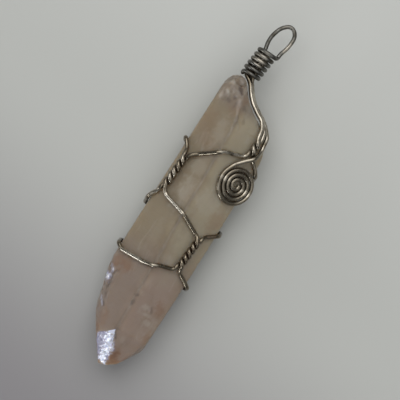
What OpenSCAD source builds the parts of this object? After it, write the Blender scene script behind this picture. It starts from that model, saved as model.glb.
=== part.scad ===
/* [Crystal] */
// Height of the ridge above the flat face on the back
thickness = 11.7; // [11:0.1:11.8]
// Slope of the four leaning side faces
lean = 30; // [29.5:0.5:32]
// Width of the flat face on the back
flat_w = 8; // [7:0.5:9]
// Distance from the ridge to the left side face
left_w = 7.35; // [7.25:0.05:7.5]
// Distance from the ridge to the right side face
right_w = 7.95; // [7.75:0.1:8.15]

/* [Wire] */
// Diameter of the wire
wire_d = 0.8; // [0.7:0.05:0.8]
// Gap between the wire and what it lies on
wire_gap = 0.1; // [0.1:0.01:0.15]
// Sides of the wire's cross-section
wire_sides = 8; // [6:1:10]
// Radius that the wire is bent to at a corner
bend_r = 0.9; // [0.7:0.1:0.9]

/* [Bail] */
// Radius of the coil round the neck, to the wire's middle
coil_r = 1.8; // [1.7:0.05:1.85]
// Distance from one turn of the coil to the next
coil_pitch = 1.06; // [0.95:0.01:1.1]
// Height of the neck above the surface that the pendant lies on
neck_z = 7; // [6.9:0.05:7.1]

/* [Spiral] */
// Radius of the spiral's outer turn, to the wire's middle
spiral_r = 4.15; // [4:0.05:4.2]
// Distance from one turn of the spiral to the next
spiral_pitch = 0.98; // [0.92:0.01:1]
// Number of turns in the spiral
spiral_turns = 3.65; // [3:0.05:3.7]

/* [Hidden] */

wire_r = wire_d / 2;
lift = wire_r + wire_gap;
// The wires that cross the back are the feet, so the crystal's flat face lies a wire above the surface
base_z = wire_d + wire_gap;
ridge_z = base_z + thickness;
ridge_x = 0.2;
// The two side faces are turned a little from the line of the ridge, in degrees
left_turn = 2.6;
right_turn = 1.6;
// Middle of the outline, seen from above
middle = [0.73, 4.6];
reach = 60;

// Columns of the tables of flat faces: a point on the face, then its outward normal's turn and lift
PX = 0;
PY = 1;
PZ = 2;
TURN = 3;
LIFT = 4;

side_faces = [
    // x                  y    z        turn             lift
    [ridge_x - left_w,    0,   6,       180 - left_turn, 0],
    [ridge_x + right_w,   0,   6,       -right_turn,     0],
    [7.8,                 -12, 6,       -3.5,            0],
    [ridge_x,             0,   ridge_z, 180,             90 - lean],
    [ridge_x,             0,   ridge_z, 0,               90 - lean],
    [ridge_x - flat_w / 2, 0,  base_z,  180,             lean - 90],
    [ridge_x + flat_w / 2, 0,  base_z,  0,               lean - 90],
    [ridge_x,             0,   base_z,  0,               -90],
];

tip_faces = [
    // x     y      z        turn   lift
    [-0.1,  -26.4,  ridge_z, -88,   52],
    [-0.1,  -26.4,  ridge_z, -46,   50],
    [-6.8,  -15.5,  8.5,     192,   27],
    [-6.4,  -21.8,  5,       194,   3],
    [-2.9,  -29.3,  5,       212.6, 0],
    [5.5,   -30.1,  5,       -30,   9],
    [3.8,   -32.9,  5,       -50,   12],
    [1.6,   -34.4,  5.6,     -82,   16],
    [0.2,   -26.8,  base_z,  -118,  -52],
    [0.2,   -26.8,  base_z,  -64,   -52],
];

root_faces = [
    // x     y     z        turn  lift
    [0.2,   21,    ridge_z, 35,   55],
    [-3.5,  26.6,  10.4,    112,  60],
    [-5.7,  28.7,  6,       140,  18],
    [0,     20.5,  base_z,  84,   -63],
    [-4,    25,    3.2,     150,  -50],
];

// Outline of the crystal seen from above, where it was broken off its bed
root_outline = [
    [8.65, 16.2], [8.3, 18], [7.5, 20], [6.4, 21.6], [4.8, 23], [2.6, 24.45], [0.6, 26],
    [-0.9, 27.9], [-2, 29.4], [-2.6, 29.8], [-3.3, 30], [-4.1, 29.9], [-5.3, 29.35], [-9, 26],
];
rough_block = concat([[-9, -36], [9, -36]], root_outline);
rough_h = 16;

// Columns of the table of chips: the middle of the round that is broken out, and its radius
CHIP_R = 3;
chip_sides = 48;
chips = [
    // x      y      z      radius
    [0.4,   -18.4,  13.9,   1.5],
    [0.3,   -19.9,  14.2,   1.85],
    [4.6,   -20,    11.6,   1.5],
    [-7.4,  -17,    9.6,    1.7],
    [-7.6,  -18.6,  8.8,    1.9],
    [-8.3,  -20.6,  6.6,    2.1],
    [-5.3,  24.8,   11.2,   1.9],
    [-3.2,  29.7,   10.2,   1.8],
];

// Twists: the ends of the axis seen from above, the way the face looks, and the half turns
TOP = 0;
BOTTOM = 1;
UP = 2;
HALVES = 3;
up_left = [-sin(lean), 0, cos(lean)];
up_right = [sin(lean), 0, cos(lean)];
shoulder_twist = [[6.1, 20.4], [5.95, 16.9], up_right, -2];
left_twist = [[-5.05, 10.9], [-5.95, 2.7], up_left, -5];
right_twist = [[5.55, -2.6], [4.75, -9.8], up_right, -5];
// Distance from a twist's axis to the middle of each strand, and the gap under the twist
strand_r = wire_r + 0.05;
twist_gap = 0.06;
twist_lift = strand_r + wire_r + twist_gap;
ON_RIGHT = 0;
ON_LEFT = 180;

// Neck: the ends of its axis, and how far from it the wires inside the coil run
neck_low = [-2.05, 31, neck_z];
neck_high = [-1.25, 36.3, neck_z];
inside_r = 0.7;
// How far up the neck those wires end, and where they leave it at the bottom
inside_end_y = 35.8;
inside_low_y = 30.8;
// The coil's wire comes from the loop's leg, wider out, and ends at the left after this many turns
coil_start_r = 2.3;
coil_turns = 5.4;

// Spiral: its middle seen from above, and the angle at which its outer turn starts
spiral_at = [6.55, 10.3];
spiral_start = 150;

// Height of the two upper faces at x, and of the faces on the back
function face_z(x) = ridge_z - abs(x - ridge_x) * tan(lean);
function under_z(x) = base_z + (abs(x - ridge_x) - flat_w / 2) * tan(lean);
// The side faces' x at y
function left_x(y) = ridge_x - left_w + y * tan(left_turn);
function right_x(y) = ridge_x + right_w + y * tan(right_turn);

function unit(v) = v / norm(v);
function reversed(list) = [for (i = [len(list) - 1:-1:0]) list[i]];

// A station is a point of a wire's route and the radius of its bend there, which is 0 on a curve
BEND = 3;
function station(p, r = bend_r) = [p.x, p.y, p.z, r];
function point(s) = [s.x, s.y, s.z];

// Station on an upper face, on the ridge too, at the height of a wire that lies there
function over(x, y) = station([x, y, face_z(x) + lift / cos(lean)]);

// Stations of a wire round the back, from the right upper edge to the left one. y lists where it passes
// the right upper and lower edges and the left lower and upper ones
function behind(y) =
    let (
        xr = [right_x(y[0]) + lift, right_x(y[1]) + lift],
        xl = [left_x(y[2]) - lift, left_x(y[3]) - lift],
        flat_x = flat_w / 2 + lift * tan(lean / 2),
        share = (xr[1] - ridge_x - flat_x) / (xr[1] - xl[0])
    )
    [
        over(xr[0], y[0]),
        station([xr[1], y[1], under_z(xr[1]) - lift / cos(lean)]),
        station([ridge_x + flat_x, y[1] + (y[2] - y[1]) * share, wire_r]),
        station([ridge_x - flat_x, y[2] - (y[2] - y[1]) * share, wire_r]),
        station([xl[0], y[2], under_z(xl[0]) - lift / cos(lean)]),
        over(xl[1], y[3]),
    ];

// Share of a twist's turning that is done at share t of its length: slow at both ends
slow = 0.12;
function turned(t) =
    (t < slow ? t * t / slow / 2 : t > 1 - slow ? 1 - slow - (1 - t) * (1 - t) / slow / 2 : t - slow / 2)
    / (1 - slow);

// Stations of one strand of a twist, from its top to its bottom. Each half turn has strand_steps stations,
// and the nearest ones to each end are left out
strand_steps = 6;
first_step = 2;
function strand(twist, side) =
    let (
        ends = [for (e = [TOP, BOTTOM]) let (p = twist[e])
            [p.x, p.y, face_z(p.x) + twist_lift / cos(lean)]],
        up = twist[UP],
        across = unit(cross(up, ends[1] - ends[0])),
        steps = abs(twist[HALVES]) * strand_steps
    )
    [for (i = concat([0], [for (k = [first_step:steps - first_step]) k], [steps]))
        let (t = i / steps, phase = side + 180 * twist[HALVES] * turned(t))
        station(ends[0] + (ends[1] - ends[0]) * t
            + strand_r * (cos(phase) * across + sin(phase) * up), i == 0 || i == steps ? bend_r : 0)];

// Point on the neck's axis at y, and a station beside it inside the coil at an angle from the right
function neck_at(y) = neck_low + (neck_high - neck_low) * (y - neck_low.y) / (neck_high.y - neck_low.y);
function in_neck(angle, y) = station(neck_at(y) + inside_r * [cos(angle), 0, sin(angle)]);

// The legs and the spiral's tail run round the shoulder one below another, each a little further out.
// Columns of the table: the place of the upper leg, the height between the legs, and the way that is out
OUT = 3;
step_down = 0.93;
step_out = 0.18;
bundle = [
    // x     y      z     out
    [-1.1,  29.3,  7.1,   25],
    [-0.4,  28.15, 7.4,   30],
    [0.4,   27.1,  7.75,  38],
    [1.2,   26.2,  8.1,   50],
    [2.95,  24.9,  8.5,   56],
    [4.5,   24,    8.75,  52],
];
// Station of the bundle's first, second or third wire at a row of the table
function in_bundle(row, rank) =
    station([row.x, row.y, row.z + step_down / 2]
        + rank * [step_out * cos(row[OUT]), step_out * sin(row[OUT]), -step_down]);

upper_leg = concat(
    [in_neck(90, inside_end_y), in_neck(90, 32.3), station([-2.75, 31.4, neck_z + 0.2]),
        station([-3, 30.65, neck_z + 0.2]), station([-2.1, 30.15, neck_z + 0.6])],
    [for (row = bundle) in_bundle(row, 0)],
    [station([5.4, 22.5, 9.95])]);
lower_leg = concat(
    [in_neck(0, inside_end_y), in_neck(0, inside_low_y)],
    [for (row = bundle) in_bundle(row, 1)],
    [station([6.15, 22.25, 9.45])]);
tail = concat(
    [in_neck(-90, inside_end_y), in_neck(-90, inside_low_y)],
    [for (row = bundle) in_bundle(row, 2)],
    [
        station([5.5, 23.6, 7.8]),
        station([6.4, 22.6, 8.3]),
        station([7.25, 21.45, 9.1]),
        station([7.35, 20.1, 9.1]),
        station([7.5, 18.7, 9.3]),
        station([7.42, 17.5, 10.25]),
        station([6.95, 16.5, 11.05]),
        station([5.6, 15.3, 11]),
        station([4.15, 13.8, 11]),
    ]);

// The stretches of the cage wire that show from above
front_top = [over(5.1, 16.1), over(3, 15.45), over(1.3, 15.05), over(ridge_x, 14.3), over(-3, 12.1)];
front_middle = [over(-4.6, 1.75), over(-2, 0.95), over(ridge_x, 0.25), over(1.2, -0.3), over(4.3, -2.1)];
front_low = [over(4, -10.4), over(1.3, -11), over(ridge_x, -11.6), over(-2, -12), over(-7, -12.05)];
to_right_top = [over(7.1, 16.1), over(8.3, 14.8)];
to_left_top = [over(-5.7, 11.9), over(-6.4, 13)];
to_right_middle = [over(6.3, -1.8), over(7.6, -0.9)];
to_left_middle = [over(-6.5, 1.7), over(-7.2, 0.9)];
to_right_low = [over(5.7, -10.5), over(7.2, -11.5)];
back_top = [13.7, 13, 13.3, 13.7];
back_middle = [-0.2, 0.4, -1.6, -0.2];
back_low = [-12.3, -12.8, -10.6, -11.2];

cage_route = concat(
    upper_leg,
    strand(shoulder_twist, ON_LEFT),
    front_top,
    strand(left_twist, ON_RIGHT),
    to_left_middle,
    reversed(behind(back_middle)),
    reversed(to_right_middle),
    strand(right_twist, ON_RIGHT),
    front_low,
    reversed(behind(back_low)),
    reversed(to_right_low),
    reversed(strand(right_twist, ON_LEFT)),
    reversed(front_middle),
    reversed(strand(left_twist, ON_LEFT)),
    to_left_top,
    reversed(behind(back_top)),
    reversed(to_right_top),
    reversed(strand(shoulder_twist, ON_RIGHT)),
    reversed(lower_leg));

// The loop's route from its left leg, over the top, to the leg that is wound into the coil
loop_route = [
    in_neck(180, 32.4),
    in_neck(180, 36.4),
    station([-2.45, 39.2, neck_z], 8),
    station([-1.5, 42, neck_z], 3),
    station([0.35, 43.6, neck_z], 1.3),
    station([1.95, 42.1, neck_z], 2),
    station([1.85, 39.5, neck_z], 6),
    station([1.1, 37.5, neck_z], 2),
    station([0.95, 36.3, neck_z], 0.6),
];
coil_steps = 18;
coil_first = 25;
coil_route =
    let (axis = unit(neck_high - neck_low), across = cross(axis, [0, 0, 1]))
    [for (i = [0:coil_turns * coil_steps])
        let (
            phase = coil_first + i * 360 / coil_steps,
            r = coil_r + (coil_start_r - coil_r) * max(0, 1 - phase / 90)
        )
        if (phase < 360 * coil_turns)
            station(neck_high - axis * coil_pitch * (phase - 90) / 360
                + r * (cos(phase) * across + [0, 0, sin(phase)]), 0)];
coil_end = [station([-3.9, 30.95, neck_z + 0.5], 0.5), station([-3.55, 30.5, neck_z + 1])];
bail_route = concat(loop_route, coil_route, coil_end);

spiral_steps = 20;
spiral_route =
    let (across = [cos(lean), 0, -sin(lean)], middle_z = face_z(spiral_at.x) + lift / cos(lean))
    [for (i = [0:spiral_turns * spiral_steps])
        let (share = i / spiral_steps, angle = spiral_start + 360 * share)
        station([spiral_at.x, spiral_at.y, middle_z]
            + (spiral_r - spiral_pitch * share) * (cos(angle) * across + sin(angle) * [0, 1, 0]), 0)];
scroll_route = concat(tail, spiral_route);

// Points of the arc that rounds the corner b between a and c. A corner that turns by less than least_turn
// stays sharp, and a bend takes less than half of the stretch on either side of it
arc_step = 24;
least_turn = 4;
stretch_share = 0.48;
function arc(a, b, c, r) =
    let (u = unit(a - b), w = unit(c - b), inside = acos(max(-1, min(1, u * w))), turn = 180 - inside)
    turn < least_turn ? [b] :
    let (
        run = min(r / tan(inside / 2), stretch_share * norm(a - b), stretch_share * norm(c - b)),
        centre = b + unit(u + w) * run / cos(inside / 2),
        from = b + u * run - centre,
        to = b + w * run - centre,
        n = ceil(turn / arc_step)
    )
    [for (i = [0:n]) centre + (sin(turn * (1 - i / n)) * from + sin(turn * i / n) * to) / sin(turn)];

// Points of a wire whose route is a list of stations
function bent(route) =
    let (last = len(route) - 1)
    [for (i = [0:last])
        each (i == 0 || i == last || route[i][BEND] == 0 ? [point(route[i])]
            : arc(point(route[i - 1]), point(route[i]), point(route[i + 1]), route[i][BEND]))];

// A wire along a list of points, as one closed solid. No wire starts along the direction off_axis
off_axis = [0.3, 0.2, 1];
module wire(path) {
    n = len(path);
    along = [for (i = [0:n - 1]) unit(path[min(i + 1, n - 1)] - path[max(i - 1, 0)])];
    // The first side vector is carried along the wire without spin
    first = unit(cross(along[0], off_axis));
    side = [for (i = 0, s = first; i < n;
        i = i + 1, s = i < n ? unit(s - (s * along[i]) * along[i]) : s) s];
    points = [for (i = [0:n - 1], k = [0:wire_sides - 1])
        let (a = 360 * k / wire_sides)
        path[i] + wire_r * (cos(a) * side[i] + sin(a) * cross(along[i], side[i]))];
    faces = concat(
        [for (i = [0:n - 2], k = [0:wire_sides - 1])
            let (k2 = (k + 1) % wire_sides, here = i * wire_sides, next = here + wire_sides)
            [here + k, next + k, next + k2, here + k2]],
        [[for (k = [0:wire_sides - 1]) k]],
        [[for (k = [wire_sides - 1:-1:0]) (n - 1) * wire_sides + k]]);
    polyhedron(points, faces);
}

// Everything on the far side of a flat face
module beyond(face) {
    translate([face[PX], face[PY], face[PZ]])
        rotate([0, -face[LIFT], face[TURN]])
            translate([0, -reach, -reach])
                cube(2 * reach);
}

// The pendant is drawn about its ridge, then moved so that its outline is centred on the origin
module placed() {
    translate([-middle.x, -middle.y, 0]) children();
}

module crystal_point() {
    color([0.56, 0.51, 0.45])
        placed()
            difference() {
                linear_extrude(rough_h) polygon(rough_block);
                for (face = concat(side_faces, tip_faces, root_faces)) beyond(face);
                for (chip = chips)
                    translate([chip[PX], chip[PY], chip[PZ]]) sphere(r = chip[CHIP_R], $fn = chip_sides);
            }
}

module cage_wire() {
    color([0.42, 0.4, 0.36]) placed() wire(bent(cage_route));
}

module bail_wire() {
    color([0.45, 0.43, 0.39]) placed() wire(bent(bail_route));
}

module spiral_scroll() {
    color([0.38, 0.37, 0.33]) placed() wire(bent(scroll_route));
}

crystal_point();
cage_wire();
bail_wire();
spiral_scroll();
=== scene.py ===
import math

import bpy
import numpy as np
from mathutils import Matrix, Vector, kdtree, noise


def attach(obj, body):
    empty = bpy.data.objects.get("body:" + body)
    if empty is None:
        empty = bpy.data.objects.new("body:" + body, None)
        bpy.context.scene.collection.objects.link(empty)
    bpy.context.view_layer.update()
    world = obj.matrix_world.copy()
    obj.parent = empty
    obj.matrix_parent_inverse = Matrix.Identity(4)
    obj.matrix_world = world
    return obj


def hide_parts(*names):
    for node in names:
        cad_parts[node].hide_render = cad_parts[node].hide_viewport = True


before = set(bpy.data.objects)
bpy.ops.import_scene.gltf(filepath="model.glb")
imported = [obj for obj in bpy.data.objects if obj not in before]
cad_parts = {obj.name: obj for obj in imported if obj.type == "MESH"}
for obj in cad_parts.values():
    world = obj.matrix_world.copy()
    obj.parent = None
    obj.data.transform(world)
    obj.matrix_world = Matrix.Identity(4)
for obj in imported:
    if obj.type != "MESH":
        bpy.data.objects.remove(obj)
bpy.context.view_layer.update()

# Sizes are in millimetres and places are those of the CAD source: x to the right, y towards the bail and
# z up from the surface. MIDDLE is the middle of the pendant's outline there, and the row frame's origin.
# placed() takes places to the row frame, in metres.
MM = 0.001
MIDDLE = np.array([0.73, 4.6, 0.0])


def placed(points):
    return (np.asarray(points, float) - MIDDLE) * MM


def unit(v):
    return v / np.linalg.norm(v)


def smooth_step(low, high, value):
    t = np.clip((value - low) / (high - low), 0.0, 1.0)
    return t * t * (3.0 - 2.0 * t)


def noise_at(points, size, offset=0.0):
    """Perlin noise of about that size in millimetres, -1 to 1, at each point. Each offset gives another."""
    scale = np.broadcast_to(1.0 / np.asarray(size, float), (3,))
    return np.array([noise.noise(Vector(p)) for p in points * scale + offset])


# Crystal: the same driving sizes as in the CAD source
THICKNESS = 11.7
LEAN = 30.0
FLAT_W = 8.0
LEFT_W = 7.35
RIGHT_W = 7.95
WIRE_D = 0.8
WIRE_GAP = 0.1
WIRE_R = WIRE_D / 2
LIFT = WIRE_R + WIRE_GAP
BASE_Z = WIRE_D + WIRE_GAP
RIDGE_Z = BASE_Z + THICKNESS
RIDGE_X = 0.2
# How far the left and the right side lean from y, in degrees
LEFT_TURN = 2.6
RIGHT_TURN = 1.6

# A flat face: a point on it, then its outward normal's turn and lift in degrees
SIDE_FACES = [
    (RIDGE_X - LEFT_W, 0, 6, 180 - LEFT_TURN, 0),
    (RIDGE_X + RIGHT_W, 0, 6, -RIGHT_TURN, 0),
    (7.8, -12, 6, -3.5, 0),
    (RIDGE_X, 0, RIDGE_Z, 180, 90 - LEAN),
    (RIDGE_X, 0, RIDGE_Z, 0, 90 - LEAN),
    (RIDGE_X - FLAT_W / 2, 0, BASE_Z, 180, LEAN - 90),
    (RIDGE_X + FLAT_W / 2, 0, BASE_Z, 0, LEAN - 90),
    (RIDGE_X, 0, BASE_Z, 0, -90),
]
WINDOW_FACET = (-0.1, -26.4, RIDGE_Z, -88, 52)
LEFT_BEVEL = (-6.8, -15.5, 8.5, 192, 27)
TIP_FACES = [
    WINDOW_FACET,
    (-0.1, -26.4, RIDGE_Z, -46, 50),
    LEFT_BEVEL,
    (-6.4, -21.8, 5, 194, 3),
    (-2.9, -29.3, 5, 212.6, 0),
    (5.5, -30.1, 5, -30, 9),
    (3.8, -32.9, 5, -50, 12),
    (1.6, -34.4, 5.6, -82, 16),
    (0.2, -26.8, BASE_Z, -118, -52),
    (0.2, -26.8, BASE_Z, -64, -52),
]
ROOT_FACES = [
    (0.2, 21, RIDGE_Z, 35, 55),
    (-3.5, 26.6, 10.4, 112, 60),
    (-5.7, 28.7, 6, 140, 18),
    (0, 20.5, BASE_Z, 84, -63),
    (-4, 25, 3.2, 150, -50),
]
# The crystal's broken outline seen from above
OUTLINE = [
    (-9, -36), (9, -36),
    (8.65, 16.2), (8.3, 18), (7.5, 20), (6.4, 21.6), (4.8, 23), (2.6, 24.45), (0.6, 26),
    (-0.9, 27.9), (-2, 29.4), (-2.6, 29.8), (-3.3, 30), (-4.1, 29.9), (-5.3, 29.35), (-9, 26),
]
# A chip: the middle of the round that is broken out, and its radius
CHIPS = [
    (0.4, -18.4, 13.9, 1.5),
    (0.3, -19.9, 14.2, 1.85),
    (4.6, -20, 11.7, 1.5),
    (-7.4, -17, 9.6, 1.7),
    (-7.6, -18.6, 8.8, 1.9),
    (-8.3, -20.6, 6.6, 2.1),
    (-5.3, 24.8, 11.2, 1.9),
    (-3.2, 29.7, 10.2, 1.8),
]
FACES = SIDE_FACES + TIP_FACES + ROOT_FACES
# Places in that list of the faces beside the ridge and of the tip's clear face
LEFT_UPPER, RIGHT_UPPER, WINDOW = 3, 4, len(SIDE_FACES)
# How far the edges are worn round, and the share less from TIP_FROM down to TIP_TO
EDGE_WEAR = 0.14
TIP_SHARPER = 0.6
TIP_FROM, TIP_TO = -31.0, -33.0


def outward(turn, lift):
    turn, lift = math.radians(turn), math.radians(lift)
    return np.array([math.cos(lift) * math.cos(turn), math.cos(lift) * math.sin(turn), math.sin(lift)])


NORMALS = np.array([outward(f[3], f[4]) for f in FACES])
OFFSETS = np.array([n @ np.array(f[:3], float) for n, f in zip(NORMALS, FACES)])


def smooth_max(distances, reach):
    """The greatest distance at each point, rounded where the next ones are within reach of it."""
    top = distances.max(axis=1, keepdims=True)
    return top[:, 0] + reach[:, 0] * np.log(np.exp((distances - top) / reach).sum(axis=1))


def outline_distance(xy):
    """Signed distance to the broken outline seen from above, negative inside."""
    a = np.array(OUTLINE, float)
    nearest = np.full(len(xy), np.inf)
    inside = np.zeros(len(xy), bool)
    for (ax, ay), (bx, by) in zip(a, np.roll(a, -1, axis=0)):
        edge = np.array([bx - ax, by - ay])
        w = xy - (ax, ay)
        share = np.clip(w @ edge / (edge @ edge), 0.0, 1.0)
        nearest = np.minimum(nearest, ((w - share[:, None] * edge) ** 2).sum(axis=1))
        if by != ay:
            crosses = (ay > xy[:, 1]) != (by > xy[:, 1])
            inside ^= crosses & (xy[:, 0] < (bx - ax) * (xy[:, 1] - ay) / (by - ay) + ax)
    return np.where(inside, -1.0, 1.0) * np.sqrt(nearest)


def crystal_distance(p):
    """Signed distance to the crystal with worn edges and its chips, negative inside."""
    flat = p @ NORMALS.T - OFFSETS
    wear = EDGE_WEAR * (1.0 - TIP_SHARPER * smooth_step(TIP_FROM, TIP_TO, p[:, 1]))
    d = smooth_max(np.column_stack([flat, outline_distance(p[:, :2])]), wear[:, None])
    for x, y, z, r in CHIPS:
        d = np.maximum(d, r - np.linalg.norm(p - (x, y, z), axis=1))
    return d


SLOPE_STEP = 0.02
LEAST_SLOPE = 1e-9


def crystal_slope(p):
    """Unit gradient of the distance to the crystal at each point."""
    g = np.column_stack([
        crystal_distance(p + SLOPE_STEP * axis) - crystal_distance(p - SLOPE_STEP * axis)
        for axis in np.eye(3)])
    return g / np.maximum(np.linalg.norm(g, axis=1, keepdims=True), LEAST_SLOPE)


def mesh_points(mesh):
    co = np.empty(len(mesh.vertices) * 3)
    mesh.vertices.foreach_get("co", co)
    return co.reshape(-1, 3)


def set_points(mesh, points):
    mesh.vertices.foreach_set("co", np.asarray(points, np.float32).ravel())
    mesh.update()


def shade_smooth(mesh):
    for polygon in mesh.polygons:
        polygon.use_smooth = True


def store(mesh, name, values):
    """Give each point of a mesh a number that its material reads."""
    layer = mesh.attributes.new(name, "FLOAT", "POINT")
    layer.data.foreach_set("value", np.asarray(values, np.float32))


def new_object(name, data):
    obj = bpy.data.objects.new(name, data)
    bpy.context.scene.collection.objects.link(obj)
    return obj


def applied(obj, modifier):
    """The object's mesh with its one modifier worked in."""
    dg = bpy.context.evaluated_depsgraph_get()
    mesh = bpy.data.meshes.new_from_object(obj.evaluated_get(dg))
    obj.modifiers.remove(modifier)
    obj.data = mesh
    return mesh


# Marks in the stone, a few of them painted glints and painted shade, seen from above: x, y, half width,
# half length, turn of the length from y, strength
DARK_AND_SHADE_MARKS = [
    # Painted shade: a broad band along the ridge
    (0.9, -6, 1.2, 4.2, 0, 0.18),
    (0.25, -15, 0.18, 2.6, 0, 0.45),
    (0.35, -18.3, 0.38, 0.4, 0, 0.8),
    (0.25, -19.9, 0.3, 0.8, 0, 0.9),
    (0.1, -23.6, 0.17, 2.4, 3, 0.5),
    (0.4, -27.1, 0.2, 1.0, 32, 0.8),
    (4.4, -19.7, 0.25, 0.9, 30, 0.5),
    (-5.7, -19.6, 0.3, 0.8, 10, 0.7),
    (-5.9, -17.2, 0.2, 0.9, 5, 0.5),
    (-4.6, -23.2, 0.22, 0.6, 35, 0.7),
    (-5.2, -21.5, 0.25, 0.8, 15, 0.5),
    (-2.1, 27.2, 0.32, 1.1, 33, 0.95),
    (-2.4, 25.3, 0.4, 0.4, 0, 0.7),
    (-1.6, 24.2, 0.25, 0.9, -8, 0.4),
    (-3.3, 24.3, 0.5, 0.45, 0, 0.5),
    (0, 21.6, 0.3, 1.0, 12, 0.55),
    (1.5, 22, 0.25, 0.7, 20, 0.35),
    (0.3, 24.2, 0.5, 0.5, 0, 0.4),
    # Painted shade where the wires gather at the neck
    (-1.4, 28.8, 0.8, 0.5, 0, 0.6),
    (-5.3, 28.4, 0.35, 0.8, -60, 0.5),
    (2.4, -31.1, 0.5, 0.8, 0, 0.2),
    # Painted shade along the lower rim of the tip's clear face
    (0.9, -34.2, 1.2, 0.3, -4, 0.6),
]
PALE_AND_GLINT_MARKS = [
    # Painted glints on the broken root
    (-4.2, 27.9, 0.5, 0.6, 0, 0.8),
    (-4.3, 25.6, 0.5, 0.75, 20, 0.7),
    (-3, 28.9, 0.3, 0.8, 75, 0.6),
    (-5.2, 25, 0.3, 0.9, 0, 0.5),
    (3, -19.6, 0.6, 0.6, 0, 0.45),
    (4, -21, 0.3, 0.8, 90, 0.4),
    (4.9, -22.2, 0.8, 0.5, 0, 0.5),
    (2.2, -27.6, 0.6, 0.9, 30, 0.25),
    (0.6, -17.4, 0.5, 0.8, 60, 0.35),
    (0.8, -15.4, 1.2, 1.0, 0, 0.2),
    (3.2, 4.6, 2.4, 2.2, 20, 0.4),
    (-1.7, 9.8, 1.7, 2.0, 0, 0.35),
    (-1.5, 4, 1.7, 3.4, 0, 0.5),
    (-1.5, 17.6, 1.4, 3.2, 0, 0.35),
    (6, -22, 0.7, 1.2, 0, 0.25),
    (2.5, -9.4, 0.8, 1.8, 60, 0.25),
    (3, 20.8, 2.2, 2.8, 0, 0.15),
    (-2.6, -6, 1.1, 3.4, 0, 0.15),
]
# Rust-brown stains, and one band of painted shade
RUST_AND_SHADE_MARKS = [
    (2.4, -31.3, 0.9, 1.4, 0, 0.85),
    (2.7, -32.8, 0.8, 1.4, -55, 0.8),
    # Painted shade along the lower rim of the tip's clear face
    (1.1, -34.15, 1.5, 0.4, -4, 0.8),
    (4.6, -31.2, 0.45, 1.3, -30, 0.5),
    (5.6, -18.6, 0.9, 1.5, 30, 0.45),
    (6.2, -25, 0.5, 1.3, 0, 0.35),
    (-4.6, -14.2, 1.6, 1.5, 0, 0.5),
    (-6.6, -14.6, 0.9, 1.3, 0, 0.5),
    (-3.6, -27.8, 0.6, 1.0, 35, 0.5),
    (-4.6, 18, 1.7, 3.0, 10, 0.2),
    (-2.6, 15, 1.8, 1.7, 0, 0.2),
    (-1.2, 23.4, 1.4, 1.6, 0, 0.2),
    (0, 25.8, 0.6, 0.7, 0, 0.25),
    (6.3, 1.6, 1.2, 2.2, 0, 0.3),
    (-3.5, -25.4, 0.9, 1.7, 20, 0.3),
]
# Painted glints on the left bevel's chips and on the tip's clear face, also smoother there
PAINTED_GLINT_MARKS = [
    (-6.7, -18.1, 0.55, 1.0, 35, 1.0),
    (-6.5, -16.5, 0.28, 0.5, 25, 0.45),
    (-7.3, -17.7, 0.3, 0.6, 0, 0.6),
    (-5.1, -23.1, 0.2, 0.6, 35, 0.5),
    (-5.7, -22.3, 0.2, 0.45, 20, 0.45),
    (-7, -15.8, 0.25, 0.35, 0, 0.4),
    (1.35, -29.9, 0.35, 1.1, 20, 0.8),
]
# Places where the wire is painted bright, painted highlights and sheen, in the same columns
PAINTED_SHEEN_MARKS = [
    (-3.1, 1.3, 0.7, 2.6, 74, 1.0),
    (-0.6, 0.5, 0.6, 0.9, 70, 0.7),
    (-4.2, -12, 0.6, 2.6, 90, 0.9),
    (0.6, -11.5, 0.5, 0.8, 100, 0.5),
    (1.3, 15, 0.5, 1.1, 100, 1.0),
    (4, 15.8, 0.5, 1.6, 100, 1.0),
    (6, 18.8, 0.8, 1.6, 0, 0.5),
    (6.5, 10.3, 4.4, 4.4, 0, 0.2),
    (5.4, 15.2, 0.6, 2.0, -45, 0.45),
    (0.9, 26.9, 0.9, 2.6, 38, 0.9),
    (4.6, 24, 0.9, 1.6, 50, 0.8),
    (6.3, 21.4, 1.2, 1.4, 30, 0.7),
    (7.4, 18.6, 0.7, 1.4, 0, 0.6),
    (3.7, 10.5, 1.0, 0.5, 0, 1.0),
    (8.9, 10, 1.0, 0.5, 0, 1.0),
    (6.2, 10, 0.5, 0.4, 0, 0.5),
    (3.5, 8.2, 0.5, 1.0, 25, 0.4),
    (-7.2, 1, 0.9, 1.0, -40, 0.9),
    (-5.4, 9.9, 0.7, 0.7, 0, 0.5),
    (-5.8, 5.4, 0.7, 1.4, 0, 0.5),
    (1.8, 39, 0.6, 1.6, 0, 0.58),
    (-0.2, 42.7, 1.6, 0.7, 0, 0.13),
    (-1.9, 34.4, 1.2, 1.2, 0, 0.6),
]
# Places where the wire's tarnish is red-brown
WARM_MARKS = [
    (7, -1.2, 1.6, 0.9, 0, 1.0),
    (5.2, -6.2, 1.2, 3.6, 0, 0.6),
    (-5.4, 6.8, 1.2, 3.6, 0, 0.5),
    (3, 15.5, 2.6, 0.9, 0, 0.4),
]
# A mark starts at MARK_RIM times its half sizes and has its full strength from MARK_CORE inwards
MARK_RIM, MARK_CORE = 1.6, 0.4
# Marks fade out between these heights, so the back has none
MARK_GONE, MARK_FULL = 4.0, 6.0
# The brightest streak of the painted reflection on the tip's clear face, seen from above
GLARE_FROM, GLARE_TO, GLARE_HALF = (-0.35, -27.2), (0.75, -33.8), 0.9


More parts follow.
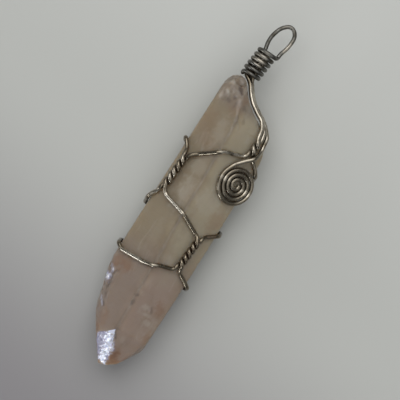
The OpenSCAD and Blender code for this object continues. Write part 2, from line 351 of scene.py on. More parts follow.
def marked(p, marks, offset):
    """Strength of one kind of mark at each point, ragged at its rim."""
    strength = np.zeros(len(p))
    ragged = 0.5 * noise_at(p, 1.1, offset) + 0.5 * noise_at(p, 0.5, -offset)
    for x, y, half_width, half_length, turn, most in marks:
        a = math.radians(turn)
        dx, dy = p[:, 0] - x, p[:, 1] - y
        across = dx * math.cos(a) + dy * math.sin(a)
        along = dy * math.cos(a) - dx * math.sin(a)
        far = np.hypot(across / half_width, along / half_length) + ragged
        strength = np.maximum(strength, most * smooth_step(MARK_RIM, MARK_CORE, far))
    return strength * smooth_step(MARK_GONE, MARK_FULL, p[:, 2])


# Size of the crystal's mesh cells, and the rounds that bring its points to the worn surface
VOXEL = 0.21
ROUNDS = 4
# The bevel sets in from the first to the second of these in x, and at its lower and upper end in y
BEVEL_X, BEVEL_LOW, BEVEL_HIGH = (-4.6, -5.8), (-24.0, -20.0), (-13.5, -15.5)
# The broken root sets in over these in y, in a line that falls to the right
ROOT_Y, ROOT_FALL = (22.0, 27.5), 0.35
# Over how many millimetres the nicks along the edges and the clear face's pits fade out
EDGE_REACH, WINDOW_REACH = 0.35, 0.1
# The clear face's colour, partly a painted reflection: how ragged and how soft its rim is, how much of it
# rust hides, and how much painted glare the painted glints have
RIM_RAGGED, RIM_SOFT = 0.12, 0.12
RUST_HIDES = 1.3
GLINT_GLARE = 0.9
# The ridge's painted shade, a dark line that damps the ridge's own highlight: strength and half width of
# its soft band and of its narrow line, how far right that line lies, and where in y and by how much it
# weakens towards the tip and towards the root
BAND, BAND_HALF = 0.45, 1.3
LINE, LINE_HALF, LINE_RIGHT = 0.7, 0.38, 0.12
LINE_LOW, LESS_LOW = (-8.0, -13.0), 0.2
LINE_HIGH, LESS_HIGH = (12.0, 16.0), 0.25
# How far over the ridge's own face the line fades out, where the ridge gives way to the tip or the root
RIDGE_FADE = (0.9, 0.1)


def crystal_relief(p, flat):
    """Depth in millimetres that the real surface lies under the flat faces, at each point."""
    x, y = p[:, 0], p[:, 1]
    ordered = np.sort(flat, axis=1)
    nearest, second = ordered[:, -1], ordered[:, -2]
    edge = np.exp(-(nearest - second) / EDGE_REACH)
    window = np.exp(-(nearest - flat[:, WINDOW]) / WINDOW_REACH)
    bevel = smooth_step(*BEVEL_X, x) * smooth_step(*BEVEL_LOW, y) * smooth_step(*BEVEL_HIGH, y)
    root = smooth_step(*ROOT_Y, y + ROOT_FALL * x)
    # In turn: all over, the edges' nicks, the clear face's pits, and the breaks of the bevel and the root
    depth = 0.03 + 0.03 * noise_at(p, 5.0)
    depth += edge * 0.28 * np.clip(noise_at(p, 1.1, 7.3) - 0.12, 0.0, 1.0)
    depth += window * (0.05 + 0.07 * noise_at(p, 0.9, 3.1))
    depth += bevel * (0.12 + 0.3 * np.abs(noise_at(p, 1.3, 11.7)))
    depth += root * (0.05 + 0.4 * np.abs(noise_at(p, 1.8, 5.9)) + 0.1 * noise_at(p, 0.7, 2.3))
    return np.clip(depth, 0.0, 1.0)


def window_at(p, flat):
    """Strength of the tip's clear face, whose colour is partly a painted reflection, ragged at its rim."""
    ragged = RIM_RAGGED * np.abs(noise_at(p, 0.8, 6.1))
    return np.exp(-(flat.max(axis=1) - flat[:, WINDOW] + ragged) / RIM_SOFT)


def painted_streak_at(p):
    """Strength of the painted reflection's brightest streak, a straight band."""
    way = unit(np.array(GLARE_TO) - GLARE_FROM)
    off = (p[:, :2] - GLARE_FROM) @ np.array([way[1], -way[0]])
    return np.exp(-(off / GLARE_HALF) ** 2) + 0.5 * noise_at(p, 0.8, 4.4)


def ridge_painted_shade(p, flat):
    """Strength of the painted shade along the ridge, a dark line that damps the ridge's own highlight."""
    aside = flat[:, LEFT_UPPER] - flat[:, RIGHT_UPPER]
    band = BAND * np.exp(-(aside / BAND_HALF) ** 2)
    y = p[:, 1]
    most = LINE - LESS_LOW * smooth_step(*LINE_LOW, y) - LESS_HIGH * smooth_step(*LINE_HIGH, y)
    line = most * np.exp(-((aside - LINE_RIGHT) / LINE_HALF) ** 2)
    on_ridge = (band + line) * smooth_step(*RIDGE_FADE, flat.max(axis=1) - flat[:, LEFT_UPPER])
    return on_ridge * (0.9 + 0.35 * noise_at(p, (2, 4, 2), 2.9))


def build_crystal():
    """The CAD solid with a fine mesh, worn edges, its relief, and the numbers that its material reads."""
    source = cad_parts["crystal_point"]
    obj = new_object("crystal_body", source.data.copy())
    remesh = obj.modifiers.new("remesh", "REMESH")
    remesh.mode = "VOXEL"
    remesh.voxel_size = VOXEL * MM
    mesh = applied(obj, remesh)
    p = mesh_points(mesh) / MM + MIDDLE
    for _ in range(ROUNDS):
        p -= crystal_distance(p)[:, None] * crystal_slope(p)
    flat = p @ NORMALS.T - OFFSETS
    p -= crystal_relief(p, flat)[:, None] * crystal_slope(p)
    set_points(mesh, placed(p))
    shade_smooth(mesh)
    # Rust stains, with painted shade under the clear face
    rust_and_shade = marked(p, RUST_AND_SHADE_MARKS, 8.9)
    # Painted glints
    clear = marked(p, PAINTED_GLINT_MARKS, 12.1)
    # The clear face's painted reflection and its painted glare
    store(mesh, "window", window_at(p, flat) * (1.0 - RUST_HIDES * rust_and_shade))
    store(mesh, "glare", np.maximum(painted_streak_at(p), GLINT_GLARE * clear))
    # Painted shade along the ridge
    store(mesh, "ridge", ridge_painted_shade(p, flat))
    # Dark cracks and chips, with some painted shade
    store(mesh, "dark", marked(p, DARK_AND_SHADE_MARKS, 1.7))
    # Pale veils, and painted glints on the root
    store(mesh, "pale", marked(p, PALE_AND_GLINT_MARKS, 5.3))
    store(mesh, "rust_and_shade", rust_and_shade)
    store(mesh, "clear", clear)
    return obj


crystal = build_crystal()


# Wires: stations of the routes, as in the CAD source. A station is x, y, z and the radius of its bend,
# which is 0 where the route is already a curve
BEND_R = 0.9
COIL_R = 1.8
COIL_PITCH = 1.06
NECK_Z = 7.0
SPIRAL_R = 4.15
SPIRAL_PITCH = 0.98
SPIRAL_TURNS = 3.65
SIN_LEAN = math.sin(math.radians(LEAN))
COS_LEAN = math.cos(math.radians(LEAN))
TAN_LEAN = math.tan(math.radians(LEAN))

# The ways that the two upper faces look
UP_LEFT = np.array([-SIN_LEAN, 0, COS_LEAN])
UP_RIGHT = np.array([SIN_LEAN, 0, COS_LEAN])
# Twists: the ends of the axis seen from above, the way the face looks, and the half turns with a sign for
# their way round
SHOULDER_TWIST = ((6.1, 20.4), (5.95, 16.9), UP_RIGHT, -2)
LEFT_TWIST = ((-5.05, 10.9), (-5.95, 2.7), UP_LEFT, -5)
RIGHT_TWIST = ((5.55, -2.6), (4.75, -9.8), UP_RIGHT, -5)
# How far a strand lies from its twist's axis, a little more than in the source, the gap left under a twist
# and how far its axis lies from the face
STRAND_R = WIRE_R + 0.1
TWIST_GAP = 0.06
TWIST_LIFT = STRAND_R + WIRE_R + TWIST_GAP
# The angle at which a strand starts
ON_RIGHT, ON_LEFT = 0.0, 180.0

# The neck: its axis, how far off it the wire ends inside lie, and the coil round it, which starts at the
# angle COIL_FIRST and has drawn in at COIL_LEAD
NECK_LOW = np.array([-2.05, 31, NECK_Z])
NECK_HIGH = np.array([-1.25, 36.3, NECK_Z])
INSIDE_R = 0.7
COIL_START_R = 2.3
COIL_TURNS = 5.4
COIL_FIRST = 25.0
COIL_LEAD = 90
COIL_STEPS = 45
# The spiral: its middle seen from above, the angle where it starts, and the stations of a turn
SPIRAL_AT = (6.55, 10.3)
SPIRAL_START = 150.0
SPIRAL_STEPS = 60


def face_z(x):
    """Height of an upper face."""
    return RIDGE_Z - abs(x - RIDGE_X) * TAN_LEAN


def under_z(x):
    """Height of a lower face that leans."""
    return BASE_Z + (abs(x - RIDGE_X) - FLAT_W / 2) * TAN_LEAN


def left_x(y):
    return RIDGE_X - LEFT_W + y * math.tan(math.radians(LEFT_TURN))


def right_x(y):
    return RIDGE_X + RIGHT_W + y * math.tan(math.radians(RIGHT_TURN))


def station(p, r=BEND_R):
    return (float(p[0]), float(p[1]), float(p[2]), r)


def over(x, y):
    """A station on an upper face."""
    return station((x, y, face_z(x) + LIFT / COS_LEAN))


def behind(y):
    """Stations round the back, from the right upper edge to the left one."""
    xr = [right_x(y[0]) + LIFT, right_x(y[1]) + LIFT]
    xl = [left_x(y[2]) - LIFT, left_x(y[3]) - LIFT]
    flat_x = FLAT_W / 2 + LIFT * math.tan(math.radians(LEAN / 2))
    share = (xr[1] - RIDGE_X - flat_x) / (xr[1] - xl[0])
    return [
        over(xr[0], y[0]),
        station((xr[1], y[1], under_z(xr[1]) - LIFT / COS_LEAN)),
        station((RIDGE_X + flat_x, y[1] + (y[2] - y[1]) * share, WIRE_R)),
        station((RIDGE_X - flat_x, y[2] - (y[2] - y[1]) * share, WIRE_R)),
        station((xl[0], y[2], under_z(xl[0]) - LIFT / COS_LEAN)),
        over(xl[1], y[3]),
    ]


# Share of a twist at each end in which its turning starts or stops, and the stations of a half turn
SLOW = 0.12
STRAND_STEPS = 18


def turned(t):
    """Share of a twist's turning that is done at share t of its length."""
    if t < SLOW:
        done = t * t / SLOW / 2
    elif t > 1 - SLOW:
        done = 1 - SLOW - (1 - t) ** 2 / SLOW / 2
    else:
        done = t - SLOW / 2
    return done / (1 - SLOW)


def strand(twist, side):
    """Stations of one strand of a twist, from its top to its bottom."""
    top, bottom, up, halves = twist
    ends = [np.array([p[0], p[1], face_z(p[0]) + TWIST_LIFT / COS_LEAN]) for p in (top, bottom)]
    across = unit(np.cross(up, ends[1] - ends[0]))
    steps = abs(halves) * STRAND_STEPS
    skip = STRAND_STEPS // 3
    made = []
    for i in [0, *range(skip, steps - skip + 1), steps]:
        t = i / steps
        phase = math.radians(side + 180 * halves * turned(t))
        out = math.cos(phase) * across + math.sin(phase) * up
        place = ends[0] + (ends[1] - ends[0]) * t + STRAND_R * out
        made.append(station(place, BEND_R if i in (0, steps) else 0))
    return made


def neck_at(y):
    """The point of the neck's axis at y."""
    return NECK_LOW + (NECK_HIGH - NECK_LOW) * (y - NECK_LOW[1]) / (NECK_HIGH[1] - NECK_LOW[1])


def in_neck(angle, y):
    """A station of a wire end inside the coil."""
    a = math.radians(angle)
    return station(neck_at(y) + INSIDE_R * np.array([math.cos(a), 0, math.sin(a)]))


# The legs and the spiral's tail round the shoulder: x and y of the upper leg, the height half a step below
# it, and the way that is out. Each of the other two wires lies STEP_DOWN below the one before and STEP_OUT
# further out
STEP_DOWN = 0.93
STEP_OUT = 0.18
BUNDLE = [
    (-1.1, 29.3, 7.1, 25),
    (-0.4, 28.15, 7.4, 30),
    (0.4, 27.1, 7.75, 38),
    (1.2, 26.2, 8.1, 50),
    (2.95, 24.9, 8.5, 56),
    (4.5, 24, 8.75, 52),
]


def in_bundle(row, rank):
    """A station of the bundle's wire of that rank: 0 upper leg, 1 lower leg, 2 tail."""
    out = math.radians(row[3])
    step = np.array([STEP_OUT * math.cos(out), STEP_OUT * math.sin(out), -STEP_DOWN])
    return station(np.array([row[0], row[1], row[2] + STEP_DOWN / 2]) + rank * step)


def leg(start, rank, end):
    return [*start, *(in_bundle(row, rank) for row in BUNDLE), *end]


upper_start = [
    in_neck(90, 35.8),
    in_neck(90, 32.3),
    station((-2.75, 31.4, NECK_Z + 0.2)),
    station((-3, 30.65, NECK_Z + 0.2)),
    station((-2.1, 30.15, NECK_Z + 0.6)),
]
upper_leg = leg(upper_start, 0, [station((5.4, 22.5, 9.95))])
lower_leg = leg([in_neck(0, 35.8), in_neck(0, 30.8)], 1, [station((6.15, 22.25, 9.45))])
tail = leg([in_neck(-90, 35.8), in_neck(-90, 30.8)], 2, [
    station((5.5, 23.6, 7.8)),
    station((6.4, 22.6, 8.3)),
    station((7.25, 21.45, 9.1)),
    station((7.35, 20.1, 9.1)),
    station((7.5, 18.7, 9.3)),
    station((7.42, 17.5, 10.25)),
    station((6.95, 16.5, 11.05)),
    station((5.6, 15.3, 11)),
    station((4.15, 13.8, 11)),
])

front_top = [over(5.1, 16.1), over(3, 15.45), over(1.3, 15.05), over(RIDGE_X, 14.3), over(-3, 12.1)]
front_middle = [over(-4.6, 1.75), over(-2, 0.95), over(RIDGE_X, 0.25), over(1.2, -0.3), over(4.3, -2.1)]
front_low = [over(4, -10.4), over(1.3, -11), over(RIDGE_X, -11.6), over(-2, -12), over(-7, -12.05)]
to_right_top = [over(7.1, 16.1), over(8.3, 14.8)]
to_left_top = [over(-5.7, 11.9), over(-6.4, 13)]
to_right_middle = [over(6.3, -1.8), over(7.6, -0.9)]
to_left_middle = [over(-6.5, 1.7), over(-7.2, 0.9)]
to_right_low = [over(5.7, -10.5), over(7.2, -11.5)]
back_top = behind([13.7, 13, 13.3, 13.7])
back_middle = behind([-0.2, 0.4, -1.6, -0.2])
back_low = behind([-12.3, -12.8, -10.6, -11.2])

cage_route = (
    upper_leg
    + strand(SHOULDER_TWIST, ON_LEFT)
    + front_top
    + strand(LEFT_TWIST, ON_RIGHT)
    + to_left_middle
    + back_middle[::-1]
    + to_right_middle[::-1]
    + strand(RIGHT_TWIST, ON_RIGHT)
    + front_low
    + back_low[::-1]
    + to_right_low[::-1]
    + strand(RIGHT_TWIST, ON_LEFT)[::-1]
    + front_middle[::-1]
    + strand(LEFT_TWIST, ON_LEFT)[::-1]
    + to_left_top
    + back_top[::-1]
    + to_right_top[::-1]
    + strand(SHOULDER_TWIST, ON_RIGHT)[::-1]
    + lower_leg[::-1]
)


def coil():
    """Stations of the coil, from the bail's leg down to the shoulder."""
    axis = unit(NECK_HIGH - NECK_LOW)
    across = np.cross(axis, [0, 0, 1])
    made = []
    for i in range(int(COIL_TURNS * COIL_STEPS)):
        phase = COIL_FIRST + i * 360 / COIL_STEPS
        if phase >= 360 * COIL_TURNS:
            break
        r = COIL_R + (COIL_START_R - COIL_R) * max(0, 1 - phase / COIL_LEAD)
        a = math.radians(phase)
        out = math.cos(a) * across + np.array([0, 0, math.sin(a)])
        made.append(station(NECK_HIGH - axis * COIL_PITCH * (phase - COIL_LEAD) / 360 + r * out, 0))
    return made


bail_route = [
    in_neck(180, 32.4),
    in_neck(180, 36.4),
    station((-2.45, 39.2, NECK_Z), 8),
    station((-1.5, 42, NECK_Z), 3),
    station((0.35, 43.6, NECK_Z), 1.3),
    station((1.95, 42.1, NECK_Z), 2),
    station((1.85, 39.5, NECK_Z), 6),
    station((1.1, 37.5, NECK_Z), 2),
    station((0.95, 36.3, NECK_Z), 0.6),
    *coil(),
    station((-3.9, 30.95, NECK_Z + 0.5), 0.5),
    station((-3.55, 30.5, NECK_Z + 1)),
]


def spiral():
    """Stations of the flat spiral, from its rim to its middle."""
    across = np.array([COS_LEAN, 0, -SIN_LEAN])
    towards_bail = np.array([0, 1, 0])
    centre = np.array([*SPIRAL_AT, face_z(SPIRAL_AT[0]) + LIFT / COS_LEAN])
    made = []
    for i in range(int(SPIRAL_TURNS * SPIRAL_STEPS) + 1):
        share = i / SPIRAL_STEPS
        a = math.radians(SPIRAL_START + 360 * share)
        out = math.cos(a) * across + math.sin(a) * towards_bail
        made.append(station(centre + (SPIRAL_R - SPIRAL_PITCH * share) * out, 0))
    return made


scroll_route = tail + spiral()

# Bends: degrees of each step, the least turn that is rounded, and how much of a stretch one bend may take
ARC_STEP = 6.0
LEAST_TURN = 2.0
STRETCH_SHARE = 0.48


def arc(a, b, c, r):
    """Points of the arc that rounds the corner b between a and c."""
    u, w = unit(a - b), unit(c - b)
    inside = math.degrees(math.acos(np.clip(u @ w, -1, 1)))
    turn = 180 - inside
    if turn < LEAST_TURN:
        return [b]
    half = math.radians(inside / 2)
    longest = STRETCH_SHARE * min(np.linalg.norm(a - b), np.linalg.norm(c - b))
    run = min(r / math.tan(half), longest)
    centre = b + unit(u + w) * run / math.cos(half)
    start, stop = b + u * run - centre, b + w * run - centre
    n = math.ceil(turn / ARC_STEP)
    t = math.radians(turn)
    return [
        centre + (math.sin(t * (1 - i / n)) * start + math.sin(t * i / n) * stop) / math.sin(t)
        for i in range(n + 1)]


def bent(route):
    """Points of a wire whose route is a list of stations."""
    places = [np.array(s[:3]) for s in route]
    points = []
    for i, s in enumerate(route):
        if i in (0, len(route) - 1) or s[3] == 0:
            points.append(places[i])
        else:
            points += arc(places[i - 1], places[i], places[i + 1], s[3])
    return np.array(points)


# The seen wire's radius, a little more than that of the source's corners, and the share of its unevenness
SEEN_R = 1.06 * WIRE_R
UNEVEN = 0.035
# Step between a tube's rings, the steps over which its kinks are softened, and the sides of a ring
RESAMPLE = 0.18
SOFTEN = 1.6
TUBE_SIDES = 16
# Any way that no wire starts along
NOT_ALONG = (0.3, 0.2, 1.0)
# A cut end: how far out its smaller ring and its middle stand, and that ring's size
RING_OUT, MIDDLE_OUT, RING_SHARE = 0.1, 0.13, 0.78


def evenly(points):
    """The same line with points at even steps, with its kinks softened a little."""
    along = np.concatenate([[0], np.cumsum(np.linalg.norm(np.diff(points, axis=0), axis=1))])
    n = int(round(along[-1] / RESAMPLE))
    at = np.linspace(0, along[-1], n + 1)
    line = np.column_stack([np.interp(at, along, points[:, k]) for k in range(3)])
    reach = int(3 * SOFTEN)
    weights = np.exp(-0.5 * (np.arange(-reach, reach + 1) / SOFTEN) ** 2)
    weights /= weights.sum()
    padded = np.vstack([2 * line[0] - line[reach:0:-1], line, 2 * line[-1] - line[-2:-reach - 2:-1]])
    return np.column_stack([np.convolve(padded[:, k], weights, "valid") for k in range(3)])


def tube(name, line, radius):
    """A round wire along a line, with slightly rounded cut ends."""
    along = np.gradient(line, axis=0)
    along /= np.linalg.norm(along, axis=1, keepdims=True)
    side = unit(np.cross(along[0], NOT_ALONG))
    angles = np.linspace(0, 2 * math.pi, TUBE_SIDES, endpoint=False)
    rings = []
    outs = []
    for place, way, r in zip(line, along, radius):
        side = unit(side - (side @ way) * way)
        up = np.cross(way, side)
        out = np.cos(angles)[:, None] * side + np.sin(angles)[:, None] * up
        rings.append(place + r * out)
        outs.append(out)
    ends = [(line[0], -along[0], rings[0]), (line[-1], along[-1], rings[-1])]
    caps = [place + RING_OUT * way + RING_SHARE * (ring - place) for place, way, ring in ends]
    middles = [place + MIDDLE_OUT * way for place, way, _ in ends]
    ways = [way for _, way, _ in ends]
    points = np.vstack([caps[0], *rings, caps[1], *middles])
    out = np.vstack([np.tile(ways[0], (TUBE_SIDES, 1)), *outs, np.tile(ways[1], (TUBE_SIDES, 1)), *ways])
    sides = [(k, (k + 1) % TUBE_SIDES) for k in range(TUBE_SIDES)]
    last_ring = (len(line) + 1) * TUBE_SIDES
    first_middle = last_ring + TUBE_SIDES
    faces = []
    for here in range(0, last_ring, TUBE_SIDES):
        after = here + TUBE_SIDES
        faces += [(here + a, here + b, after + b, after + a) for a, b in sides]
    faces += [(b, a, first_middle) for a, b in sides]
    faces += [(last_ring + a, last_ring + b, first_middle + 1) for a, b in sides]
    mesh = bpy.data.meshes.new(name)
    mesh.from_pydata([tuple(p) for p in placed(points)], [], faces)
    shade_smooth(mesh)
    return new_object(name, mesh), points, out


# Each wire: its node in the CAD source, its route and how dull its surface is all over
ROUTES = {
    "cage_strands": ("cage_wire", cage_route, 0.0),
    "bail_strand": ("bail_wire", bail_route, 0.25),
    "scroll_strand": ("spiral_scroll", scroll_route, 0.0),
}
lines = {name: evenly(bent(route)) for name, (_, route, _) in ROUTES.items()}
every_point = np.vstack(list(lines.values()))
tree = kdtree.KDTree(len(every_point))
for i, p in enumerate(every_point):
    tree.insert(p, i)
tree.balance()

# A point is shut in by what lies near a probe that stands PROBE_OUT off the wire: fully at the distance of
# the first number, and not at all at the first plus the second
PROBE_OUT = 0.4
WIRE_NEAR, WIRE_FADE = WIRE_R + 0.01, 0.35
STONE_NEAR, STONE_FADE = -0.15, 0.6


def crevice(points, out):
    """How far each point of a wire's surface is shut in by wire and by the crystal, 0 to 1."""
    probe = points + PROBE_OUT * out
    near = np.array([tree.find(q)[2] for q in probe])
    by_wire = np.clip((WIRE_NEAR + WIRE_FADE - near) / WIRE_FADE, 0, 1)
    by_stone = np.clip((STONE_NEAR + STONE_FADE - crystal_distance(probe)) / STONE_FADE, 0, 1)
    return np.maximum(by_wire, by_stone)


wires = {}
for name, (cad_node, _, dull) in ROUTES.items():
    line = lines[name]
    radius = SEEN_R * (1.0 + UNEVEN * noise_at(line, 1.7, 4.2))
    obj, points, out = tube(name, line, radius)
    store(obj.data, "crevice", crevice(points, out))
    # Painted highlights and sheen
    store(obj.data, "painted_sheen", marked(points, PAINTED_SHEEN_MARKS, 3.7))
    store(obj.data, "warm", marked(points, WARM_MARKS, 6.4))
    store(obj.data, "dull", np.full(len(points), dull))
    wires[name] = obj


# Node helpers
def add(nodes, kind, values=None, links=None, **settings):
    """A new node with the values of its inputs, the sockets linked to them, and its settings."""
    n = nodes.nodes.new(kind)
    for key, value in settings.items():
        setattr(n, key, value)
    for key, value in (values or {}).items():
        n.inputs[key].default_value = value
    for key, socket in (links or {}).items():
        nodes.links.new(socket, n.inputs[key])
    return n


def rgb(r, g, b):
    """Colour given in sRGB, 0 to 255."""
    return tuple(
        c / 12.92 if c <= 0.04045 else ((c + 0.055) / 1.055) ** 2.4
        for c in (r / 255, g / 255, b / 255)) + (1.0,)


def new_material(name):
    material = bpy.data.materials.new(name)
    material.use_nodes = True
    nodes = material.node_tree
    return material, nodes, nodes.nodes["Principled BSDF"]


def scaled_by(nodes, at, factors):
    return add(nodes, "ShaderNodeVectorMath", {1: factors}, {0: at}, operation="MULTIPLY").outputs[0]


def place_socket(nodes):
    """The object's own coordinates, in millimetres."""
    at = add(nodes, "ShaderNodeTexCoord").outputs["Object"]
    return scaled_by(nodes, at, (1.0 / MM,) * 3)


def cloud(nodes, at, size, detail=3.0, roughness=0.55, distortion=0.0, stretch=(1, 1, 1)):
    """A noise from 0 to 1 whose grain is about that size in millimetres, times the stretch of each axis."""
    scaled = scaled_by(nodes, at, tuple(1.0 / (size * s) for s in stretch))
    return add(nodes, "ShaderNodeTexNoise",
               {"Scale": 1.0, "Detail": detail, "Roughness": roughness, "Distortion": distortion},
               {"Vector": scaled}).outputs["Fac"]


def between(nodes, value, low, high, to_low=0.0, to_high=1.0):
    """A smooth step of a value from low to high, between to_low and to_high."""
    return add(nodes, "ShaderNodeMapRange",
               {"From Min": low, "From Max": high, "To Min": to_low, "To Max": to_high},
               {"Value": value}, interpolation_type="SMOOTHSTEP").outputs["Result"]


def math_node(nodes, operation, a, b, clamp=False):
    """An operation on two numbers or sockets."""
    n = add(nodes, "ShaderNodeMath", operation=operation, use_clamp=clamp)
    for i, value in enumerate((a, b)):
        if isinstance(value, (int, float)):
            n.inputs[i].default_value = value
        else:
            nodes.links.new(value, n.inputs[i])
    return n.outputs[0]


def mixed(nodes, share, a, b):
    """Colour a where share is 0 and b where it is 1."""
    n = add(nodes, "ShaderNodeMix", data_type="RGBA", clamp_factor=True)
    for key, kind, value in (("Factor", "VALUE", share), ("A", "RGBA", a), ("B", "RGBA", b)):
        socket = next(s for s in n.inputs if s.name == key and s.type == kind)
        if isinstance(value, tuple):
            socket.default_value = value
        else:
            nodes.links.new(value, socket)
    return next(s for s in n.outputs if s.type == "RGBA")


def attribute(nodes, name):
    return add(nodes, "ShaderNodeAttribute", attribute_name=name).outputs["Fac"]


def bump(nodes, height, distance, strength, normal=None):
    """The normal over a height from 0 to 1 that stands for the distance, on top of another normal."""
    values = {"Distance": distance * MM, "Strength": strength}
    links = {"Height": height}
    if normal is not None:
        links["Normal"] = normal
    return add(nodes, "ShaderNodeBump", values, links).outputs["Normal"]


def quartz_material():
    material, nodes, shader = new_material("cloudy_quartz")
    at = place_socket(nodes)
    split = add(nodes, "ShaderNodeSeparateXYZ", None, {0: at})
    x, y = split.outputs["X"], split.outputs["Y"]
    # The body's colour from left to right and down to the tip, then the root and the right rim. The right
    # part is
    # painted lighter: painted light for the glow that the stone carries through to that side
    left, right = rgb(141, 128, 107), rgb(166, 155, 133)
    low_left, low_right = rgb(139, 124, 112), rgb(155, 137, 124)
    uneven = math_node(nodes, "MULTIPLY", cloud(nodes, at, 6.0), 5.0)
    painted_light_right = between(nodes, math_node(nodes, "ADD", x, uneven), 0.5, 3.5)
    lowness = math_node(nodes, "ADD", y, math_node(nodes, "MULTIPLY", uneven, 2.0))
    low_part = between(nodes, lowness, -4.0, -16.0)
    colour = mixed(nodes, low_part, mixed(nodes, painted_light_right, left, right),
                   mixed(nodes, painted_light_right, low_left, low_right))
    root_part = between(nodes, math_node(nodes, "ADD", y, uneven), 19.5, 23.5, 0.0, 0.75)
    colour = mixed(nodes, root_part, colour, rgb(128, 117, 107))
    rim_part = between(nodes, math_node(nodes, "ADD", x, uneven), 6.5, 9.0, 0.0, 0.4)
    colour = mixed(nodes, rim_part, colour, rgb(138, 122, 102))
    # Worn patches and pale veils all over
    worn = between(nodes, cloud(nodes, at, 5.0, 4.0, 0.6, 0.6, (1, 2.2, 1)), 0.48, 0.75, 0.0, 0.5)
    colour = mixed(nodes, worn, colour, rgb(128, 110, 93))
    veil = between(nodes, cloud(nodes, at, 2.6, 5.0, 0.6, 1.2, (0.8, 2.4, 1)), 0.54, 0.8, 0.0, 0.4)
    colour = mixed(nodes, veil, colour, rgb(178, 170, 158))
    # The marks: the number of the mesh that each reads, its share at most and its colour. The ridge's is
    # painted shade, and pale, rust and dark also hold a few painted glints and painted shade
    for name, share, tint in (
            ("pale", 0.6, rgb(190, 183, 170)),
            ("rust_and_shade", 0.8, rgb(130, 90, 58)),
            ("dark", 0.75, rgb(78, 64, 56)),
            ("ridge", 0.65, rgb(98, 85, 71))):
        colour = mixed(nodes, math_node(nodes, "MULTIPLY", attribute(nodes, name), share), colour, tint)
    # The clear face and the clear chips: a frosted bluish colour that is partly a painted reflection of the
    # low window, with painted glare along its streaks and on the chips' painted glints
    window = between(nodes, attribute(nodes, "window"), 0.35, 0.75)
    clear = math_node(nodes, "MAXIMUM", window, attribute(nodes, "clear"))
    glare = attribute(nodes, "glare")
    streaks = between(nodes, cloud(nodes, at, 0.8, 3.0, 0.6, 0.8, (0.6, 1.6, 1)), 0.4, 0.6, -0.25, 0.25)
    glare = between(nodes, math_node(nodes, "ADD", glare, streaks), 0.1, 0.75)
    painted_reflection = mixed(nodes, glare, rgb(138, 138, 166), rgb(230, 234, 252))
    colour = mixed(nodes, math_node(nodes, "MULTIPLY", clear, 0.85), colour, painted_reflection)
    nodes.links.new(colour, shader.inputs["Base Color"])
    rough = between(nodes, cloud(nodes, at, 1.6, 4.0), 0.35, 0.7, 0.3, 0.5)
    polished = between(nodes, glare, 0.0, 1.0, 0.3, 0.13)
    surfaces = {"Factor": clear, "A": rough, "B": polished}
    rough = add(nodes, "ShaderNodeMix", None, surfaces).outputs["Result"]
    nodes.links.new(rough, shader.inputs["Roughness"])
    shader.inputs["IOR"].default_value = 1.54
    shader.inputs["Subsurface Weight"].default_value = 0.6
    shader.inputs["Subsurface Radius"].default_value = (1.0, 0.75, 0.5)
    shader.inputs["Subsurface Scale"].default_value = 8.0 * MM
    # Grain, and the fine lines of growth along the crystal
    fine = cloud(nodes, at, 0.5, 4.0, 0.6)
    grooves = cloud(nodes, at, 0.6, 3.0, 0.6, 0.0, (8, 0.7, 8))
    normal = bump(nodes, fine, 0.05, 0.35)
    normal = bump(nodes, grooves, 0.08, 0.3, normal)
    nodes.links.new(normal, shader.inputs["Normal"])
    return material


def wire_material():
    material, nodes, shader = new_material("tarnished_wire")
    at = place_socket(nodes)
    shut = attribute(nodes, "crevice")
    patches = cloud(nodes, at, 1.1, 4.0, 0.6)
    tarnish = math_node(nodes, "ADD", math_node(nodes, "MULTIPLY", shut, 0.75), attribute(nodes, "dull"))
    tarnish = math_node(nodes, "ADD", tarnish, between(nodes, patches, 0.35, 0.7, 0.0, 0.5), True)
    greyness = math_node(nodes, "MULTIPLY", attribute(nodes, "dull"), 4.0)
    colour = mixed(nodes, greyness, rgb(140, 130, 113), rgb(128, 128, 124))
    stain = mixed(nodes, attribute(nodes, "warm"), rgb(64, 55, 40), rgb(92, 62, 44))
    colour = mixed(nodes, tarnish, colour, stain)
    # Painted highlights and sheen on the wire, weaker in the crevices
    painted_sheen = attribute(nodes, "painted_sheen")
    painted_sheen = math_node(nodes, "MULTIPLY", painted_sheen, between(nodes, shut, 0.3, 1.0, 1.0, 0.2))
    colour = mixed(nodes, painted_sheen, colour, rgb(200, 192, 177))
    nodes.links.new(colour, shader.inputs["Base Color"])
    nodes.links.new(between(nodes, tarnish, 0.0, 1.0, 0.22, 0.5), shader.inputs["Roughness"])
    shader.inputs["Metallic"].default_value = 1.0
    normal = bump(nodes, cloud(nodes, at, 0.25, 3.0, 0.6), 0.02, 0.25)
    nodes.links.new(normal, shader.inputs["Normal"])
    return material


def finish_piece(obj, material, cad_node):
    """Dress a piece, hang it on the root and hide the CAD node that it stands in for."""
    obj.data.materials.clear()
    obj.data.materials.append(material)
    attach(obj, "root")
    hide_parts(cad_node)


finish_piece(crystal, quartz_material(), "crystal_point")
wire_finish = wire_material()
for name, (cad_node, _, _) in ROUTES.items():
    finish_piece(wires[name], wire_finish, cad_node)


# Stage: a pale floor with painted shade that darkens it towards the tip's end, soft light from the upper
# left and from above, and low windows beyond the tip and at the left. How far the floor's painted shading
# turns from y towards x, and half the floor's width in metres
FLOOR_SKEW = 0.15
FLOOR_HALF = 2.0


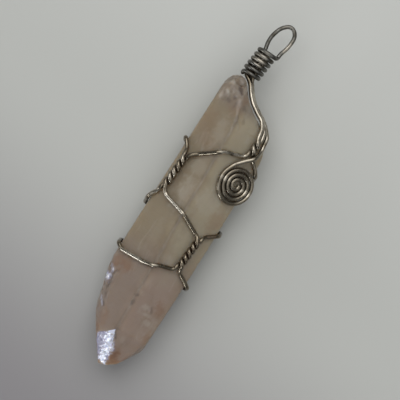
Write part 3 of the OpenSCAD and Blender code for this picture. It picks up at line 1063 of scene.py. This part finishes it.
def floor_material():
    """Pale, with painted light and shade that darken it from the bail's end to the tip's."""
    material, nodes, shader = new_material("pale_floor")
    at = place_socket(nodes)
    split = add(nodes, "ShaderNodeSeparateXYZ", None, {0: at})
    aside = math_node(nodes, "MULTIPLY", split.outputs["X"], FLOOR_SKEW)
    near = math_node(nodes, "ADD", split.outputs["Y"], aside)
    # Painted light and shade: lighter towards the bail's end and darker towards the tip's
    pale = mixed(nodes, between(nodes, near, -5.0, 50.0), rgb(195, 196, 191), rgb(208, 209, 204))
    colour = mixed(nodes, between(nodes, near, 0.0, -60.0), pale, rgb(144, 141, 143))
    nodes.links.new(colour, shader.inputs["Base Color"])
    shader.inputs["Roughness"].default_value = 0.6
    shader.inputs["Specular IOR Level"].default_value = 0.3
    return material


corners = [(x * FLOOR_HALF, y * FLOOR_HALF, 0) for x, y in ((-1, -1), (1, -1), (1, 1), (-1, 1))]
floor_mesh = bpy.data.meshes.new("floor")
floor_mesh.from_pydata(corners, [], [(0, 1, 2, 3)])
floor = new_object("floor", floor_mesh)
floor_mesh.materials.append(floor_material())


def soft_light(name, azimuth, elevation, away, width, height, radiance, tint=(1.0, 1.0, 1.0)):
    """A rectangle of light that looks at the pendant from a direction in degrees, away metres off."""
    data = bpy.data.lights.new(name, "AREA")
    data.shape = "RECTANGLE"
    data.size, data.size_y = width, height
    data.energy = radiance * math.pi * width * height
    data.color = tint
    obj = new_object(name, data)
    a, e = math.radians(azimuth), math.radians(elevation)
    direction = Vector((math.cos(e) * math.cos(a), math.cos(e) * math.sin(a), math.sin(e)))
    obj.location = direction * away
    obj.rotation_mode = "QUATERNION"
    obj.rotation_quaternion = direction.to_track_quat("Z", "Y")
    obj.visible_camera = False


soft_light("main_light", 122, 55, 1.3, 1.35, 1.35, 1.5)
soft_light("tip_window", -88, 14, 1.2, 0.35, 0.18, 13.0, (0.88, 0.93, 1.0))
soft_light("left_window", -136, 12, 1.2, 0.8, 0.15, 9.0, (0.92, 0.95, 1.0))
soft_light("top_light", 30, 80, 1.3, 2.4, 2.4, 0.6)

world = bpy.data.worlds.new("room")
world.use_nodes = True
background = world.node_tree.nodes["Background"]
background.inputs["Color"].default_value = (0.95, 0.98, 1.0, 1.0)
background.inputs["Strength"].default_value = 0.12
bpy.context.scene.world = world

# Camera: straight above, with the photograph's 80 mm across the frame, turned as the pendant lies in it
VIEW_W = 80.0
VIEW_AT = placed((1.72, 4.22, 7.0))
VIEW_TURN = 30.0
CAMERA_AWAY = 0.6
SENSOR_W = 36.0
camera_data = bpy.data.cameras.new("camera")
camera_data.sensor_width = SENSOR_W
camera_data.lens = SENSOR_W * CAMERA_AWAY / (VIEW_W * MM)
camera_data.clip_start, camera_data.clip_end = 0.01, 20.0
camera = new_object("camera", camera_data)
camera.location = (VIEW_AT[0], VIEW_AT[1], VIEW_AT[2] + CAMERA_AWAY)
camera.rotation_euler = (0.0, 0.0, math.radians(VIEW_TURN))
bpy.context.scene.camera = camera
bpy.context.scene.view_settings.view_transform = "Standard"
